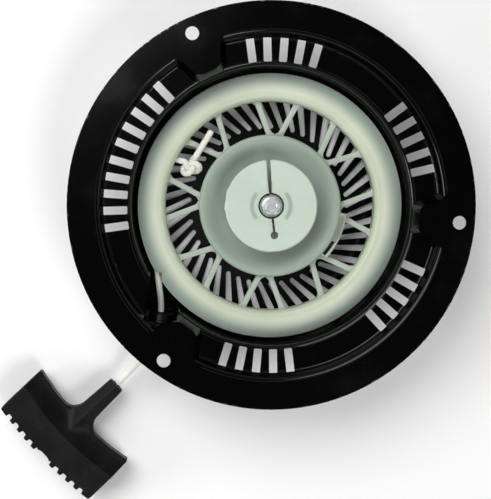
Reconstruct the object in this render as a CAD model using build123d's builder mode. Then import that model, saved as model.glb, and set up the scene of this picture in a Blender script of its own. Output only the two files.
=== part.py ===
from build123d import *
import os
from math import atan2, cos, degrees, pi, radians, sin, tan

# Recoil starter for a small engine.  Millimetres.  The origin is the centre of the three
# mounting holes on the engine-side face of the flange; +Z points to the engine.

os.makedirs("parts", exist_ok=True)

# --- driving dimensions -------------------------------------------------------------

# cover
sheet = 1.2
flange_r = 105.0
bolt_circle_r = 97.0
bolt_hole_r = 3.5
bolt_angles = (114.9, 234.9, 354.9)
recess_r = 88.5
recess_z = -8.0
bowl_top_r = 72.8
bowl_low_r = 71.2
front_z = -46.0
boss_r = 18.5
boss_z = -43.5

# slots of the recess: groups of five between the pads, and one extra group
slot_width = 4.2
slot_in_r = 74.6
slot_out_r = 87.8
slot_corner = 0.7
slot_pitch = 5.97
slot_group_angles = (25.1, 85.5, 145.4, 175.7, 264.7, 324.4)

# swirl vents of the front
vent_count = 45
vent_offset = 22.0
vent_foot_angle = 4.6
vent_in = 37.0
vent_out = 60.0
vent_in_r = 1.25
vent_out_r = 2.05

# centre post and bolt
post_r = 7.0
post_base_r = 8.0
post_foot_r = 11.0
post_foot_thick = 1.6
post_neck_r = 5.4
rivet_r = 9.6
rivet_gap = 0.7
rivet_thick = 0.9
post_flat_z = -40.4
post_flat_depth = 2.6
post_flat_width = 5.0
tapped_depth = 16.0
plate_r = 12.0
plate_thick = 0.6
post_step_z = -28.4
post_top_z = -14.2
shoulder_r = 5.0
shoulder_top_z = -11.9
bolt_reach = 12.0
bolt_flange_r = 5.9
bolt_flange_top_z = -10.6
hex_flats = 8.0
bolt_top_z = -6.8
thread_r = 2.5
washer_thick = 0.6
thrust_washer_r = 11.0
friction_washer_r = 6.5
friction_washer_z = -12.55

# reel
bore_r = 7.06
boss_out_r = 11.2
boss_low_z = -27.7
boss_high_z = -18.4
dish_top_r = 32.1
dish_foot_r = 29.9
face_z = -20.0
hub_r = 37.5
hub_wall = 2.2
hub_low_z = -41.0
web_top_z = -23.0
web_low_z = -25.4
drum_in_r = 55.3
drum_r = 57.4
reel_r = 70.0
groove_top_z = -22.2
groove_low_z = -29.9
reel_low_z = -31.8
spoke_pairs = 8
spoke_first_angle = -4.0
spoke_width = 2.8
spoke_hub_half = 3.6
spoke_rim_half = 11.25
spoke_top_z = -24.5
spoke_low_z = -31.0
lug_r = 40.7
lug_from = -43.5
lug_to = -6.0
lug_low_z = -38.0
lug_top_z = -20.6
lug_mouth_low_z = -24.0
hook_room = 1.7
knot_hole_r = 2.4
notch_angle = 212.0
notch_r = 2.0

# ratchet guide and pawls
guide_r = 24.0
guide_top_z = -9.0
guide_thick = 2.2
guide_hub_r = 9.4
guide_bore_r = 7.08
guide_low_z = -17.8
guide_mouth_r = 6.75
guide_ledge_z = -12.7
peg_r = 1.4
peg_circle_r = 19.0
peg_lead = 42.0
pawl_pivot_r = 16.0
pawl_top_z = -12.4
pawl_low_z = -19.4
pawl_pin_r = 2.4
pawl_eye_r = 4.5
pawl_tip_r = 24.5
pawl_tip_lead = 61.5
pawl_angles = (-56.0, 124.0)

# rope and its guide
rope_r = 1.7
rope_turn_r = 62.2
winding_r = 60.9
winding_height = 6.9
rope_z = -26.0
rope_leave_angle = 184.4
knot_angle = 153.6
guide_eye_x = -57.9
guide_eye_y = -60.5
guide_eye_heading = 262.0
guide_eye_z = -26.5
eye_hole_r = 4.6
eye_bore_r = 2.3

# grip
grip_low_z = -47.0
grip_thick = 20.0
stem_top = (-82.1, -96.6)


def finish(block, name):
    block.part.label = name
    export_step(block.part, f"parts/{name}.step")
    solids = block.part.solids()
    print(name, len(solids), round(block.part.volume, 1), all(s.is_valid for s in solids))


def polar(r, angle):
    return (r * cos(radians(angle)), r * sin(radians(angle)))


# --- cover --------------------------------------------------------------------------

# The pad between two slot groups: the flange carried inwards, with sloping sides.
pad_slope = 20.0
pad_nose_x = 75.9
pad_nose_half = 6.6
pad_neck = (86.0, 10.4)
pad_root = (95.0, 21.5)
pad_nose_round = 4.6
pad_neck_round = 8.0
flange_round = 2.6
bowl_round = 2.6


def pad_solid(angle, grow, top_z, low_z, limit_r):
    """Pad whose outline is grown by a distance and whose sides slope outwards below."""
    nose_x = pad_nose_x - grow
    nose_half = pad_nose_half + grow
    neck_x, neck_half = pad_neck
    root_x, root_half = pad_root
    with BuildPart() as pad:
        with BuildSketch(Plane.XY.offset(top_z).rotated((0, 0, angle))):
            with BuildLine():
                edge = FilletPolyline(
                    (root_x, root_half + grow),
                    (neck_x, neck_half + grow),
                    (nose_x, nose_half),
                    (nose_x, -nose_half),
                    (neck_x, -neck_half - grow),
                    (root_x, -root_half - grow),
                    radius=(pad_neck_round, pad_nose_round, pad_nose_round, pad_neck_round),
                )
                Line(edge @ 1, edge @ 0)
            make_face()
        extrude(amount=top_z - low_z, dir=(0, 0, -1), taper=-pad_slope)
        with BuildSketch(Plane.XY.offset(low_z)):
            Circle(limit_r)
        extrude(amount=top_z - low_z, mode=Mode.INTERSECT)
    return pad.part


def bowl_wall_r(z):
    """Inside radius of the bowl's sloping wall at height z."""
    return bowl_low_r + (bowl_top_r - bowl_low_r) * (z - front_z) / (recess_z - front_z)


eye_u = Vector(*polar(1, guide_eye_heading), 0)
eye_v = Vector(-eye_u.Y, eye_u.X, 0)
eye_at = Vector(guide_eye_x, guide_eye_y, guide_eye_z)
pocket_half = 8.5
pocket_length = 30.0
pocket_low_z = -36.0


def pocket_solid(grow, low_z, top_z):
    """Straight-sided pocket that leads the rope from the bowl to its eyelet."""
    corner = 1.6 + grow
    middle = eye_at - eye_u * (pocket_length / 2) + eye_u * grow
    with BuildPart() as pocket:
        plane = Plane(origin=(middle.X, middle.Y, low_z), x_dir=eye_u, z_dir=(0, 0, 1))
        with BuildSketch(plane):
            RectangleRounded(pocket_length, 2 * (pocket_half + grow), corner)
        extrude(amount=top_z - low_z)
    return pocket.part


def bowl_space(low_z, top_z):
    """The room inside the bowl, up to its rounded upper edge, and straight up from there."""
    edge = bowl_round * (1 - cos(radians(45)))
    with BuildPart() as space:
        with BuildSketch(Plane.XZ):
            with BuildLine():
                Polyline(
                    (0, low_z),
                    (bowl_wall_r(low_z), low_z),
                    (bowl_wall_r(recess_z - bowl_round), recess_z - bowl_round),
                    (bowl_top_r + edge, recess_z - edge),
                    (bowl_top_r + edge, top_z),
                    (0, top_z),
                    close=True,
                )
            make_face()
        revolve(axis=Axis.Z)
    return space.part


with BuildPart() as housing:
    with BuildSketch(Plane.XZ):
        with BuildLine():
            inside = FilletPolyline(
                (flange_r, 0),
                (recess_r, 0),
                (recess_r - 1.6, recess_z),
                (bowl_top_r, recess_z),
                (bowl_low_r, front_z),
                (boss_r, front_z),
                (boss_r - 2.0, boss_z),
                (post_r - 1.5, boss_z),
                radius=(flange_round, 1.4, bowl_round, 5.0, 2.0, 1.0),
            )
            outside = FilletPolyline(
                (flange_r, -sheet),
                (recess_r + sheet, -sheet),
                (recess_r - 1.6 + sheet, recess_z - sheet),
                (bowl_top_r + sheet, recess_z - sheet),
                (bowl_low_r + sheet, front_z - sheet),
                (boss_r - 0.4, front_z - sheet),
                (boss_r - 2.4, boss_z - sheet),
                (post_r - 1.5, boss_z - sheet),
                radius=(1.4, 2.6, 1.4, 6.2, 1.0, 2.0),
            )
            Line(inside @ 0, outside @ 0)
            Line(inside @ 1, outside @ 1)
        make_face()
    revolve(axis=Axis.Z)

    # pads: a solid block and a plate that closes the flange's rounded edge, then the hollow below
    for angle in bolt_angles:
        add(pad_solid(angle, 0, 0, recess_z - sheet, recess_r - 0.6) - bowl_space(front_z, 1))
        add(pad_solid(angle, 0, 0, -sheet, recess_r + flange_round + 2))
    pocket_outer = pocket_solid(sheet, pocket_low_z - sheet, -sheet)
    for angle in bolt_angles:
        hollow = pad_solid(angle, -sheet, -sheet, recess_z - sheet - 0.01, flange_r)
        add(hollow - pocket_outer, mode=Mode.SUBTRACT)

    # rope pocket below the recess
    add(pocket_solid(sheet, pocket_low_z - sheet, recess_z - 0.5) - bowl_space(pocket_low_z - 4, 1))
    add(pocket_solid(0, pocket_low_z, -sheet), mode=Mode.SUBTRACT)

    # mounting holes
    with BuildSketch(Plane.XY.offset(1)):
        for angle in bolt_angles:
            with Locations(polar(bolt_circle_r, angle)):
                Circle(bolt_hole_r)
    extrude(amount=-4, mode=Mode.SUBTRACT)

    # radial slots of the recess
    with BuildSketch(Plane.XY.offset(recess_z + 0.5)):
        for middle in slot_group_angles:
            for step in range(-2, 3):
                angle = middle + step * slot_pitch
                with Locations(Location((*polar((slot_in_r + slot_out_r) / 2, angle), 0), (0, 0, angle))):
                    RectangleRounded(slot_out_r - slot_in_r, slot_width, slot_corner)
    extrude(amount=-3, mode=Mode.SUBTRACT)

    # swirl vents of the front
    with BuildSketch(Plane.XY.offset(front_z + 0.5)):
        for k in range(vent_count):
            foot = vent_foot_angle + k * 360 / vent_count
            with Locations(Rotation(0, 0, foot)):
                with Locations((vent_offset, vent_in)):
                    Circle(vent_in_r)
                with Locations((vent_offset, vent_out)):
                    Circle(vent_out_r)
                Polygon(
                    (vent_offset - vent_in_r, vent_in),
                    (vent_offset + vent_in_r, vent_in),
                    (vent_offset + vent_out_r, vent_out),
                    (vent_offset - vent_out_r, vent_out),
                    align=None,
                )
    extrude(amount=-3, mode=Mode.SUBTRACT)

    # hole for the eyelet
    eye_plane = Plane(origin=eye_at, x_dir=(0, 0, 1), z_dir=eye_u)
    with BuildSketch(eye_plane.offset(-1)):
        Circle(eye_hole_r)
    extrude(amount=4, mode=Mode.SUBTRACT)
finish(housing, "housing")


# --- centre post, bolt and washers ------------------------------------------------------

under_z = boss_z - sheet

with BuildPart() as center_post:
    with BuildSketch(Plane.XZ):
        with BuildLine():
            Polyline(
                (0, under_z - rivet_gap - rivet_thick),
                (rivet_r - 0.6, under_z - rivet_gap - rivet_thick),
                (rivet_r, under_z - rivet_gap - 0.2),
                (rivet_r, under_z - rivet_gap),
                (post_neck_r, under_z - rivet_gap),
                (post_neck_r, boss_z + 0.05),
                (post_foot_r, boss_z + 0.05),
                (post_foot_r, boss_z + post_foot_thick),
                (post_base_r, boss_z + post_foot_thick),
                (post_base_r, post_step_z),
                (post_r, post_step_z),
                (post_r, post_top_z - 0.5),
                (post_r - 0.5, post_top_z),
                (0, post_top_z),
                close=True,
            )
        make_face()
    revolve(axis=Axis.Z)
    with BuildSketch(Plane.XY.offset(post_top_z)):
        Circle(thread_r)
    extrude(amount=-tapped_depth, mode=Mode.SUBTRACT)
    # flat with a step that catches the inner end of the mainspring
    with BuildSketch(Plane.XY.offset(post_flat_z)):
        with Locations((post_base_r, 0)):
            Rectangle(post_flat_depth, post_flat_width)
    extrude(amount=post_step_z - post_flat_z, mode=Mode.SUBTRACT)
finish(center_post, "center_post")

with BuildPart() as post_plate:
    with BuildSketch(Plane.XY.offset(under_z - plate_thick - 0.05)):
        Circle(plate_r)
        Circle(post_neck_r + 0.1, mode=Mode.SUBTRACT)
    extrude(amount=plate_thick)
    fillet(post_plate.edges().filter_by(GeomType.CIRCLE).sort_by(SortBy.RADIUS)[-2:], 0.2)
finish(post_plate, "post_plate")

with BuildPart() as center_bolt:
    with BuildSketch(Plane.XZ):
        with BuildLine():
            Polyline(
                (0, post_top_z - bolt_reach),
                (thread_r - 0.6, post_top_z - bolt_reach),
                (thread_r - 0.08, post_top_z - bolt_reach + 0.5),
                (thread_r - 0.08, post_top_z + 0.02),
                (shoulder_r, post_top_z + 0.02),
                (shoulder_r, shoulder_top_z),
                (bolt_flange_r, shoulder_top_z),
                (bolt_flange_r, shoulder_top_z + 0.5),
                (bolt_flange_r - 1.2, bolt_flange_top_z),
                (0, bolt_flange_top_z),
                close=True,
            )
        make_face()
    revolve(axis=Axis.Z)
    with BuildSketch(Plane.XY.offset(bolt_flange_top_z)):
        RegularPolygon(hex_flats / 2, 6, major_radius=False)
    extrude(amount=bolt_top_z - bolt_flange_top_z)
    # chamfered corners and shallow dish of the head
    with BuildSketch(Plane.XZ):
        with BuildLine():
            Polyline(
                (hex_flats / 2 - 0.1, bolt_top_z + 0.01),
                (hex_flats, bolt_top_z + 0.01),
                (hex_flats, bolt_top_z - 2.2),
                close=True,
            )
        make_face()
        with BuildLine():
            Polyline((0, bolt_top_z + 0.01), (2.9, bolt_top_z + 0.01), (2.4, bolt_top_z - 0.5),
                     (0, bolt_top_z - 0.5), close=True)
        make_face()
    revolve(axis=Axis.Z, mode=Mode.SUBTRACT)
finish(center_bolt, "center_bolt")


def washer(name, inner, outer, low_z, thick):
    with BuildPart() as ring:
        with BuildSketch(Plane.XY.offset(low_z)):
            Circle(outer)
            Circle(inner, mode=Mode.SUBTRACT)
        extrude(amount=thick)
        chamfer(ring.edges(), 0.12)
    finish(ring, name)


washer("thrust_washer", post_r + 0.15, thrust_washer_r, post_step_z + 0.02, washer_thick)
washer("friction_washer", shoulder_r + 0.1, friction_washer_r, friction_washer_z, washer_thick)

# --- reel -------------------------------------------------------------------------------


def arc_band(r_in, r_out, from_angle, to_angle):
    """Ring sector between two radii and two angles, counter-clockwise."""
    middle = (from_angle + to_angle) / 2
    with BuildSketch() as band:
        with BuildLine():
            ThreePointArc(polar(r_in, from_angle), polar(r_in, middle), polar(r_in, to_angle))
            Line(polar(r_in, to_angle), polar(r_out, to_angle))
            ThreePointArc(polar(r_out, to_angle), polar(r_out, middle), polar(r_out, from_angle))
            Line(polar(r_out, from_angle), polar(r_in, from_angle))
        make_face()
    return band.sketch


with BuildPart() as reel:
    # spokes first, so that hub and drum trim their ends
    with BuildSketch(Plane.XY.offset(spoke_low_z)):
        for pair in range(spoke_pairs):
            middle = spoke_first_angle + pair * 360 / spoke_pairs
            for side in (-1, 1):
                near = Vector(*polar(hub_r - 1, middle + side * spoke_hub_half))
                far = Vector(*polar(drum_in_r + 1, middle + side * spoke_rim_half))
                way = far - near
                with Locations(Location(((near.X + far.X) / 2, (near.Y + far.Y) / 2, 0),
                                        (0, 0, degrees(atan2(way.Y, way.X))))):
                    Rectangle(way.length, spoke_width)
    extrude(amount=spoke_top_z - spoke_low_z)
    with BuildSketch(Plane.XZ):
        # rope drum with its two flanges
        with BuildLine():
            Polyline(
                (drum_in_r, reel_low_z + 0.6),
                (drum_in_r + 0.8, reel_low_z),
                (reel_r - 0.8, reel_low_z),
                (reel_r, reel_low_z + 0.6),
                (drum_r, groove_low_z),
                (drum_r, groove_top_z),
                (reel_r - 0.7, face_z - 2.6),
                (reel_r, face_z - 2.2),
                (reel_r - 1.2, face_z - 1.2),
                (reel_r - 6.5, face_z - 0.15),
                (drum_in_r + 3.5, face_z),
                (drum_in_r + 1.2, face_z - 0.5),
                (drum_in_r, face_z - 1.9),
                close=True,
            )
        make_face()
        # hub cup: wall, dished floor and bearing boss
        with BuildLine():
            Polyline(
                (bore_r, boss_low_z),
                (boss_out_r, boss_low_z),
                (boss_out_r, web_low_z),
                (hub_r - hub_wall, web_low_z),
                (hub_r - hub_wall, hub_low_z),
                (hub_r, hub_low_z),
                (hub_r, face_z - 1.4),
                (hub_r - 1.4, face_z),
                (dish_top_r, face_z),
                (dish_foot_r, web_top_z),
                (boss_out_r, web_top_z),
                (boss_out_r, boss_high_z),
                (bore_r, boss_high_z),
                close=True,
            )
        make_face()
    revolve(axis=Axis.Z)
    # anchor lug for the outer end of the mainspring
    with BuildSketch(Plane.XY.offset(lug_low_z)):
        add(arc_band(hub_r - hub_wall + 0.2, lug_r, lug_from, lug_to))
    extrude(amount=lug_top_z - lug_low_z)
    with BuildSketch(Plane.XY.offset(hub_low_z - 0.2)):
        add(arc_band(hub_r - 0.4, hub_r + hook_room, lug_from + 1.5, lug_to - 2.5))
        add(arc_band(hub_r - hub_wall - 1, hub_r + hook_room, lug_to - 6.5, lug_to - 2.5))
    extrude(amount=17.7, mode=Mode.SUBTRACT)
    with BuildSketch(Plane.XY.offset(lug_mouth_low_z)):
        add(arc_band(hub_r - 0.4, hub_r + hook_room, lug_from + 1.5, lug_from + 14.0))
    extrude(amount=face_z - lug_mouth_low_z, mode=Mode.SUBTRACT)
    # holes for the pins that carry the pawls
    with BuildSketch(Plane.XY.offset(web_low_z)):
        for angle in pawl_angles:
            with Locations(polar(pawl_pivot_r, angle)):
                Circle(pawl_pin_r)
    extrude(amount=web_top_z - web_low_z, mode=Mode.SUBTRACT)
    # hole in the drum through which the rope's inner end passes
    knot_plane = Plane(origin=(*polar(drum_in_r - 3, knot_angle), rope_z), z_dir=(*polar(1, knot_angle), 0))
    with BuildSketch(knot_plane):
        Circle(knot_hole_r)
    extrude(amount=8, mode=Mode.SUBTRACT)
    # notch in the near flange where the rope is led in
    with BuildSketch(Plane.XY.offset(face_z + 1)):
        with Locations(polar(reel_r + 0.6, notch_angle)):
            Circle(notch_r)
    extrude(amount=-5, mode=Mode.SUBTRACT)
finish(reel, "reel")

# --- mainspring: half circles whose radius grows by half a pitch each --------------------

spring_thick = 0.7
spring_pitch = 2.0
spring_first_r = 9.3
spring_halves = 24
spring_low_z = -40.0
spring_width = 11.5
spring_hook_angle = -10.5


def half_turn(k, shift):
    """Three points of the k-th half circle; shift moves it outwards."""
    r = spring_first_r + k * spring_pitch / 2 + shift
    middle = (k % 2) * spring_pitch / 2
    side = 1 - 2 * (k % 2)
    last = 180 if k < spring_halves - 1 else 180 + spring_hook_angle
    return [(middle + side * polar(r, a)[0], side * polar(r, a)[1]) for a in (0, last / 2, last)]


with BuildPart() as mainspring:
    with BuildSketch(Plane.XY.offset(spring_low_z)):
        for k in range(spring_halves):
            inner = half_turn(k, -spring_thick / 2)
            outer = half_turn(k, spring_thick / 2)
            with BuildLine():
                ThreePointArc(*inner)
                ThreePointArc(*outer)
                Line(inner[0], outer[0])
                Line(inner[2], outer[2])
            make_face()
        # inner hook, in the notch of the post
        with Locations((spring_first_r, -0.8)):
            Rectangle(spring_thick, 2.3)
        with Locations((spring_first_r - 0.95, -1.6)):
            Rectangle(2.6, spring_thick)
        # outer hook, folded back into the anchor lug
        with Locations(Location((*polar(35.9, spring_hook_angle), 0), (0, 0, spring_hook_angle))):
            Rectangle(5.5, spring_thick)
        add(arc_band(38.0, 38.0 + spring_thick, lug_from + 16.0, spring_hook_angle + 0.5))
    extrude(amount=spring_width)
finish(mainspring, "mainspring")

# --- ratchet guide with its friction clip ------------------------------------------------

slit_angle = 93.9
tail_slit_angle = 276.3
tail_at_r = 15.4
tail_hole_r = 2.0
slit_start = 4.5

with BuildPart() as ratchet_guide:
    with BuildSketch(Plane.XZ):
        with BuildLine():
            Polyline(
                (guide_mouth_r, guide_top_z),
                (guide_r - 0.6, guide_top_z),
                (guide_r, guide_top_z - 0.6),
                (guide_r, guide_top_z - guide_thick + 0.2),
                (guide_r - 0.3, guide_top_z - guide_thick),
                (guide_hub_r, guide_top_z - guide_thick),
                (guide_hub_r, guide_low_z),
                (guide_bore_r, guide_low_z),
                (guide_bore_r, post_top_z + 0.25),
                (shoulder_r + 0.12, post_top_z + 0.25),
                (shoulder_r + 0.12, guide_ledge_z),
                (guide_mouth_r, guide_ledge_z),
                close=True,
            )
        make_face()
    revolve(axis=Axis.Z)
    # two pegs that move the pawls
    with BuildSketch(Plane.XY.offset(guide_top_z - guide_thick + 0.3)):
        for angle in pawl_angles:
            with Locations(polar(peg_circle_r, angle + peg_lead)):
                Circle(peg_r)
    extrude(amount=pawl_low_z + 1.0 - (guide_top_z - guide_thick + 0.3))
    # clamping slit from the rim, and the short one that ends in a round hole
    with BuildSketch(Plane.XY.offset(guide_top_z + 0.1)):
        with Locations(Rotation(0, 0, slit_angle)):
            Polygon(
                (slit_start, -0.6),
                (guide_r / 2, -1.0),
                (guide_r + 1, -1.1),
                (guide_r + 1, 1.1),
                (guide_r / 2, 1.0),
                (slit_start, 0.6),
                align=None,
            )
        with Locations(Rotation(0, 0, tail_slit_angle)):
            Polygon(
                (slit_start, -0.55),
                (tail_at_r, -0.65),
                (tail_at_r, 0.65),
                (slit_start, 0.55),
                align=None,
            )
        with Locations(polar(tail_at_r, tail_slit_angle)):
            Circle(tail_hole_r)
    extrude(amount=-12, mode=Mode.SUBTRACT)
finish(ratchet_guide, "ratchet_guide")

clip_wire_r = 0.7
clip_z = -15.0
clip_r = guide_hub_r + clip_wire_r + 0.05
with BuildPart() as friction_clip:
    with BuildSketch(Plane.XZ):
        with Locations((clip_r, clip_z)):
            Circle(clip_wire_r)
    revolve(axis=Axis.Z)
    with BuildSketch(Plane.XY.offset(clip_z - 2)):
        with Locations(polar(clip_r, slit_angle)):
            Rectangle(9.0, 9.0)
    extrude(amount=4, mode=Mode.SUBTRACT)
finish(friction_clip, "friction_clip")

# --- pawls and their springs ---------------------------------------------------------------

# The peg runs along this slot, in a frame with the pawl's pivot on +X.
slot_near = (15.6, 6.0)
slot_far = (14.1, 12.8)
slot_gap = 4.4


def make_pawl(name, angle):
    with BuildPart() as pawl:
        with BuildSketch(Plane.XY.offset(pawl_low_z).rotated((0, 0, angle))):
            tip = polar(pawl_tip_r, pawl_tip_lead)
            with Locations((pawl_pivot_r, 0)):
                Circle(pawl_eye_r)
            Polygon(
                (pawl_pivot_r + pawl_eye_r, 0.5),
                (21.6, 9.0),
                (19.6, 14.5),
                tip,
                polar(pawl_tip_r - 4.6, pawl_tip_lead + 1.5),
                (10.6, 13.0),
                (11.2, 7.0),
                (pawl_pivot_r - pawl_eye_r, 0.5),
                align=None,
            )
            Circle(pawl_tip_r, mode=Mode.INTERSECT)
            Circle(clip_r + clip_wire_r + 0.4, mode=Mode.SUBTRACT)
            with Locations((pawl_pivot_r, 0)):
                Circle(pawl_pin_r + 0.06, mode=Mode.SUBTRACT)
            way = Vector(*slot_far) - Vector(*slot_near)
            middle = (Vector(*slot_far) + Vector(*slot_near)) * 0.5
            with Locations(Location((middle.X, middle.Y, 0), (0, 0, degrees(atan2(way.Y, way.X))))):
                SlotCenterToCenter(way.length, slot_gap, mode=Mode.SUBTRACT)
        extrude(amount=pawl_top_z - pawl_low_z)
    finish(pawl, name)


def make_pawl_spring(name, angle):
    """Torsion spring under the pawl: three turns about the pin and two straight legs."""
    wire = 0.35
    coil_r = pawl_pin_r + wire + 0.15
    with BuildPart() as spring:
        plane = Plane.XY.offset(web_top_z + 0.1).rotated((0, 0, angle))
        for turn in range(3):
            with BuildSketch(plane.offset(turn * 2 * wire)):
                with Locations((pawl_pivot_r, 0)):
                    Circle(coil_r + wire)
                    Circle(coil_r - wire, mode=Mode.SUBTRACT)
            extrude(amount=2 * wire)
        with BuildSketch(plane):
            with Locations((pawl_pivot_r - coil_r, 4.0)):
                Rectangle(2 * wire, 8.0)
        extrude(amount=2 * wire)
        with BuildSketch(plane.offset(4 * wire)):
            with Locations((pawl_pivot_r + coil_r, 4.5)):
                Rectangle(2 * wire, 9.0)
        extrude(amount=2 * wire)
    finish(spring, name)


def make_pawl_pin(name, angle):
    """Steel pin, pressed into the web of the reel."""
    with BuildPart() as pin:
        with BuildSketch(Plane.XY.offset(web_low_z)):
            with Locations(polar(pawl_pivot_r, angle)):
                Circle(pawl_pin_r)
        extrude(amount=pawl_top_z - 0.2 - web_low_z)
        chamfer(pin.edges(), 0.3)
    finish(pin, name)


for number, angle in enumerate(pawl_angles, start=1):
    make_pawl(f"pawl_{number}", angle)
    make_pawl_spring(f"pawl_spring_{number}", angle)
    make_pawl_pin(f"pawl_pin_{number}", angle)

# --- rope on the reel -----------------------------------------------------------------------

with BuildPart() as rope_on_reel:
    with BuildSketch(Plane.XZ):
        with Locations(((drum_r + winding_r) / 2 + 0.1, rope_z - 0.05)):
            RectangleRounded(winding_r - drum_r - 0.2, winding_height, 1.3)
    revolve(axis=Axis.Z)
finish(rope_on_reel, "rope_on_reel")

# Outer shape of the stopper knot, turned about the rope's way through the drum, and its tail.
knot_middle_r = 46.9
knot_r = 5.4
knot_length = 11.0
knot_round = 3.6
tail_end = Vector(-30.8, 39.6, -22.2)
outwards = Vector(*polar(1, knot_angle), 0)
knot_at = outwards * knot_middle_r + Vector(0, 0, rope_z)
tail_start = Vector(knot_at.X + 0.5, knot_at.Y + 1.5, tail_end.Z)
with BuildPart() as reel_knot:
    with BuildSketch(Plane(origin=knot_at, x_dir=outwards, z_dir=(0, 0, 1))):
        with BuildLine():
            FilletPolyline(
                (-knot_length / 2, 0),
                (-knot_length / 2, knot_r),
                (knot_length / 2, knot_r),
                (knot_length / 2, 0),
                radius=knot_round,
            )
            Line((knot_length / 2, 0), (-knot_length / 2, 0))
        make_face()
    revolve(axis=Axis(knot_at, outwards))
    with BuildSketch(Plane(origin=knot_at, z_dir=outwards)):
        Circle(rope_r)
    extrude(amount=drum_r - knot_middle_r)
    with BuildSketch(Plane(origin=tail_start, z_dir=tail_end - tail_start)):
        Circle(rope_r - 0.1)
    extrude(amount=(tail_end - tail_start).length)
finish(reel_knot, "reel_knot")

# --- rope from the reel to the eyelet ------------------------------------------------------

leave_way = Vector(*polar(1, rope_leave_angle + 90), 0)
leave_at = Vector(*polar(rope_turn_r, rope_leave_angle), rope_z)
lead_start = leave_at + leave_way * 9.0
eye_mouth = eye_at - eye_u * 5.0
eye_exit = eye_at + eye_u * 5.2
stem_at = Vector(*stem_top, grip_low_z + grip_thick / 2)


def rope_tube(name, route):
    """Round tube along straight runs joined by the widest tangent arcs that fit."""
    runs = [b - a for a, b in zip(route, route[1:])]
    radii = []
    for before, after in zip(runs, runs[1:]):
        half = radians(before.get_angle(after)) / 2
        radii.append(0.45 * min(before.length, after.length) / tan(half))
    with BuildPart() as tube:
        with BuildLine() as line:
            path = FilletPolyline(*route, radius=radii)
        with BuildSketch(Plane(origin=path @ 0, z_dir=path % 0)):
            Circle(rope_r)
        sweep()
    length = path.length
    print(name, "length", round(length, 1), "radii", [round(r) for r in radii],
          "volume ratio", round(tube.part.volume / (pi * rope_r**2 * length), 4))
    finish(tube, name)


rope_tube("rope_lead", [lead_start, eye_mouth, eye_exit])
rope_tube("rope_free", [
    Vector(-58.9, -66.4, -26.8),
    Vector(-63.2, -76.2, -29.6),
    Vector(-72.6, -86.8, -34.3),
    stem_at + Vector(0.2, 0.2, 0),
])

# --- eyelet of the rope pocket ----------------------------------------------------------------

with BuildPart() as rope_guide:
    # turned about the rope's way through the wall
    profile_plane = Plane(origin=eye_at, x_dir=eye_v, z_dir=(0, 0, -1))
    with BuildSketch(profile_plane):
        with BuildLine():
            Polyline(
                (eye_bore_r, -3.2),
                (4.3, -4.4),
                (6.6, -3.0),
                (6.6, -0.12),
                (eye_hole_r - 0.15, -0.12),
                (eye_hole_r - 0.15, 4.4),
                (3.4, 5.4),
                (eye_bore_r, 4.6),
                close=True,
            )
        make_face()
    revolve(axis=Axis(eye_at, eye_u))
finish(rope_guide, "rope_guide")

with BuildPart() as guide_ring:
    with BuildSketch(eye_plane.offset(sheet + 0.15)):
        Circle(eye_hole_r + 2.8)
        Circle(eye_hole_r, mode=Mode.SUBTRACT)
    extrude(amount=1.0)
    chamfer(guide_ring.edges().filter_by(GeomType.CIRCLE).sort_by(SortBy.RADIUS)[-2:], 0.25)
finish(guide_ring, "guide_ring")

# --- grip --------------------------------------------------------------------------------------

# Drawn with the rope's way along +X from the top of the stem, and the bar across it.
grip_turn = 223.3
grip_plane = Plane(origin=stem_at, x_dir=(*polar(1, grip_turn), 0), z_dir=(0, 0, 1))
stem_way = grip_plane.x_dir
grip_length = 55.0
grip_half = 33.9
bar_top_x = 23.0
bar_dip_x = 26.5
stem_half = 4.6
stem_foot_half = 8.0
knot_room_x = 40.0
knot_room_r = 6.6
rib_first = 9.8
rib_pitch = 5.75
rib_gap = 2.9
rib_depth = 2.3
saddle_half = 4.6
grip_corner = 4.0

with BuildPart() as handle_grip:
    with BuildSketch(grip_plane.offset(-grip_thick / 2)):
        with BuildLine():
            FilletPolyline(
                (bar_dip_x, 0),
                (bar_dip_x, -14),
                (bar_top_x, -grip_half),
                (grip_length - 3.0, -grip_half),
                (grip_length, -10),
                (grip_length, 0),
                radius=(30, grip_corner, grip_corner, 60),
            )
            mirror(about=Plane.XZ)
        make_face()
    extrude(amount=grip_thick)
    fillet(handle_grip.edges().group_by(Axis.Z)[0] + handle_grip.edges().group_by(Axis.Z)[-1], 3.5)
    # stem, from a square tip to a broad foot in the bar
    for reach, thick, width, corner in (
        (0, 2 * stem_half, 2 * stem_half, 1.2),
        (16, 2 * stem_half + 3, 2 * stem_half + 2, 2.0),
        (29, grip_thick - 3, 3.4 * stem_foot_half, 4.0),
    ):
        across = Plane(origin=stem_at + stem_way * reach, x_dir=(0, 0, 1), z_dir=stem_way)
        with BuildSketch(across):
            RectangleRounded(thick, width, corner)
    loft()
    # rope hole and room for the knot
    with BuildSketch(Plane(origin=stem_at, z_dir=stem_way)):
        Circle(rope_r + 0.4)
    extrude(amount=knot_room_x + 1, mode=Mode.SUBTRACT)
    with BuildSketch(Plane(origin=stem_at + stem_way * knot_room_x, z_dir=stem_way)):
        Circle(knot_room_r)
    extrude(amount=grip_length, mode=Mode.SUBTRACT)
    # finger ribs on the far edge of the bar
    with BuildSketch(grip_plane.offset(-grip_thick)):
        for side in (-1, 1):
            for k in range(4):
                middle = rib_first + k * rib_pitch
                edge = grip_length - 3.0 * (middle / grip_half) ** 2
                with Locations((edge, side * middle)):
                    Rectangle(2 * rib_depth, rib_gap)
        with Locations((grip_length, 0)):
            Rectangle(2 * rib_depth, 2 * saddle_half)
    extrude(amount=2 * grip_thick, mode=Mode.SUBTRACT)
finish(handle_grip, "handle_grip")

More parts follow.
